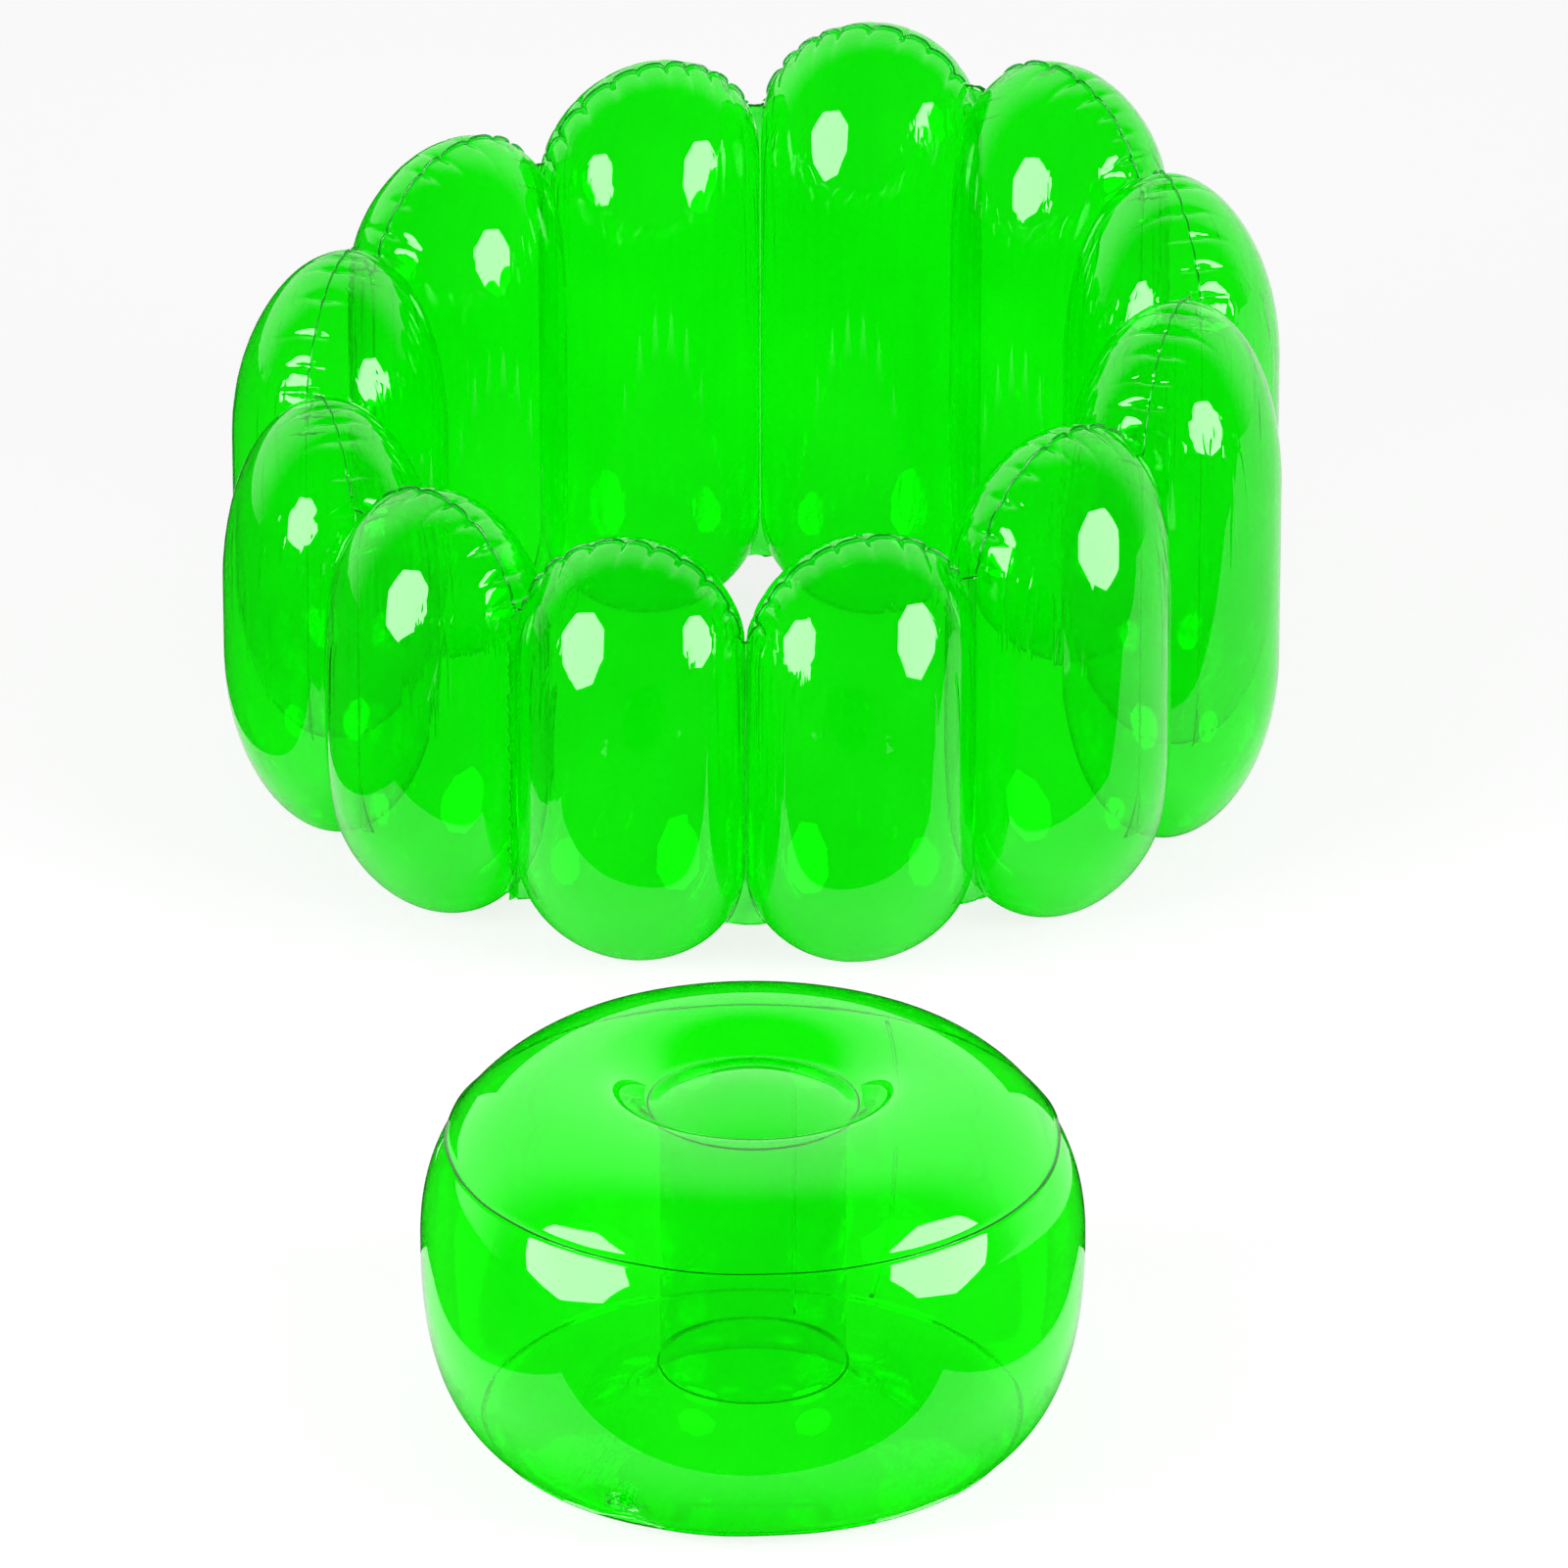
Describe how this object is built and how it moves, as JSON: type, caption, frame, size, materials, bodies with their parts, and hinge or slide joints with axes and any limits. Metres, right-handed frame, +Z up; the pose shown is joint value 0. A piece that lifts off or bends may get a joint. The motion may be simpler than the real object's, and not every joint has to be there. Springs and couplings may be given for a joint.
{
  "type": "inflatable chair",
  "caption": "Inflatable armchair of clear green film: a ring of upright air-filled petals, tall at the back and low at the front, and the round seat pouf that drops into it.",
  "frame": {"origin": "on the floor, midway between the seat's front and the ring's back, in the middle of the width", "axes": "+Z up; -Y points from the ring to the seat, towards the viewer of the pictured side; the ring's tallest petals are at +Y and its lowest seam is turned to the front left"},
  "size_m": [1.0426, 2.2462, 0.6477],
  "materials": {
    "film": "gloss",
    "weld": "gloss",
    "valve_plastic": "gloss"
  },
  "bodies": {
    "ring": {"petal_01": "film", "petal_02": "film", "petal_03": "film", "petal_04": "film", "petal_05": "film", "petal_06": "film", "petal_07": "film", "petal_08": "film", "petal_09": "film", "petal_10": "film", "petal_11": "film", "petal_12": "film", "weld_margin_01": "weld", "weld_margin_02": "weld", "weld_margin_03": "weld", "weld_margin_04": "weld", "weld_margin_05": "weld", "weld_margin_06": "weld", "weld_margin_07": "weld", "weld_margin_08": "weld", "weld_margin_09": "weld", "weld_margin_10": "weld", "weld_margin_11": "weld", "weld_margin_12": "weld", "ring_closing_seam": "weld", "ring_valve_base": "valve_plastic"},
    "ring_valve_stem": {"ring_valve_stem": "valve_plastic", "ring_valve_strap": "valve_plastic"},
    "ring_valve_stopper": {"ring_valve_stopper": "valve_plastic"},
    "ring_valve_flap": {"ring_valve_flap": "valve_plastic"},
    "seat": {"seat_top_panel": "film", "seat_side_band": "film", "seat_bottom_panel": "film", "seat_tie_tube": "film", "seat_valve_base": "valve_plastic"},
    "seat_valve_stem": {"seat_valve_stem": "valve_plastic", "seat_valve_strap": "valve_plastic"},
    "seat_valve_stopper": {"seat_valve_stopper": "valve_plastic"},
    "seat_valve_flap": {"seat_valve_flap": "valve_plastic"}
  },
  "joints": [
    {"name": "seat_lift", "type": "slide", "parent": "ring", "child": "seat", "axis": [0, 0, 1], "range_m": [0, 0.45]},
    {"name": "ring_valve_pull", "type": "slide", "parent": "ring", "child": "ring_valve_stem", "axis": [0.7193, 0.6947, 0], "range_m": [0, 0.01]},
    {"name": "ring_stopper_pull", "type": "slide", "parent": "ring_valve_stem", "child": "ring_valve_stopper", "axis": [0.7193, 0.6947, 0], "range_m": [0, 0.012]},
    {"name": "ring_flap_swing", "type": "hinge", "parent": "ring_valve_stem", "child": "ring_valve_flap", "pos_m": [0.37634, 0.95668, 0.215], "axis": [0, 0, 1], "range_deg": [0, 60], "stiffness_Nm_per_rad": 0.001},
    {"name": "seat_valve_pull", "type": "slide", "parent": "seat", "child": "seat_valve_stem", "axis": [-0.3588, -0.7042, -0.6127], "range_m": [0, 0.01]},
    {"name": "seat_stopper_pull", "type": "slide", "parent": "seat_valve_stem", "child": "seat_valve_stopper", "axis": [-0.3588, -0.7042, -0.6127], "range_m": [0, 0.012]},
    {"name": "seat_flap_swing", "type": "hinge", "parent": "seat_valve_stem", "child": "seat_valve_flap", "pos_m": [-0.10732, -1.04242, 0.04759], "axis": [0.2782, 0.5459, -0.7903], "range_deg": [0, 60], "stiffness_Nm_per_rad": 0.001}
  ]
}
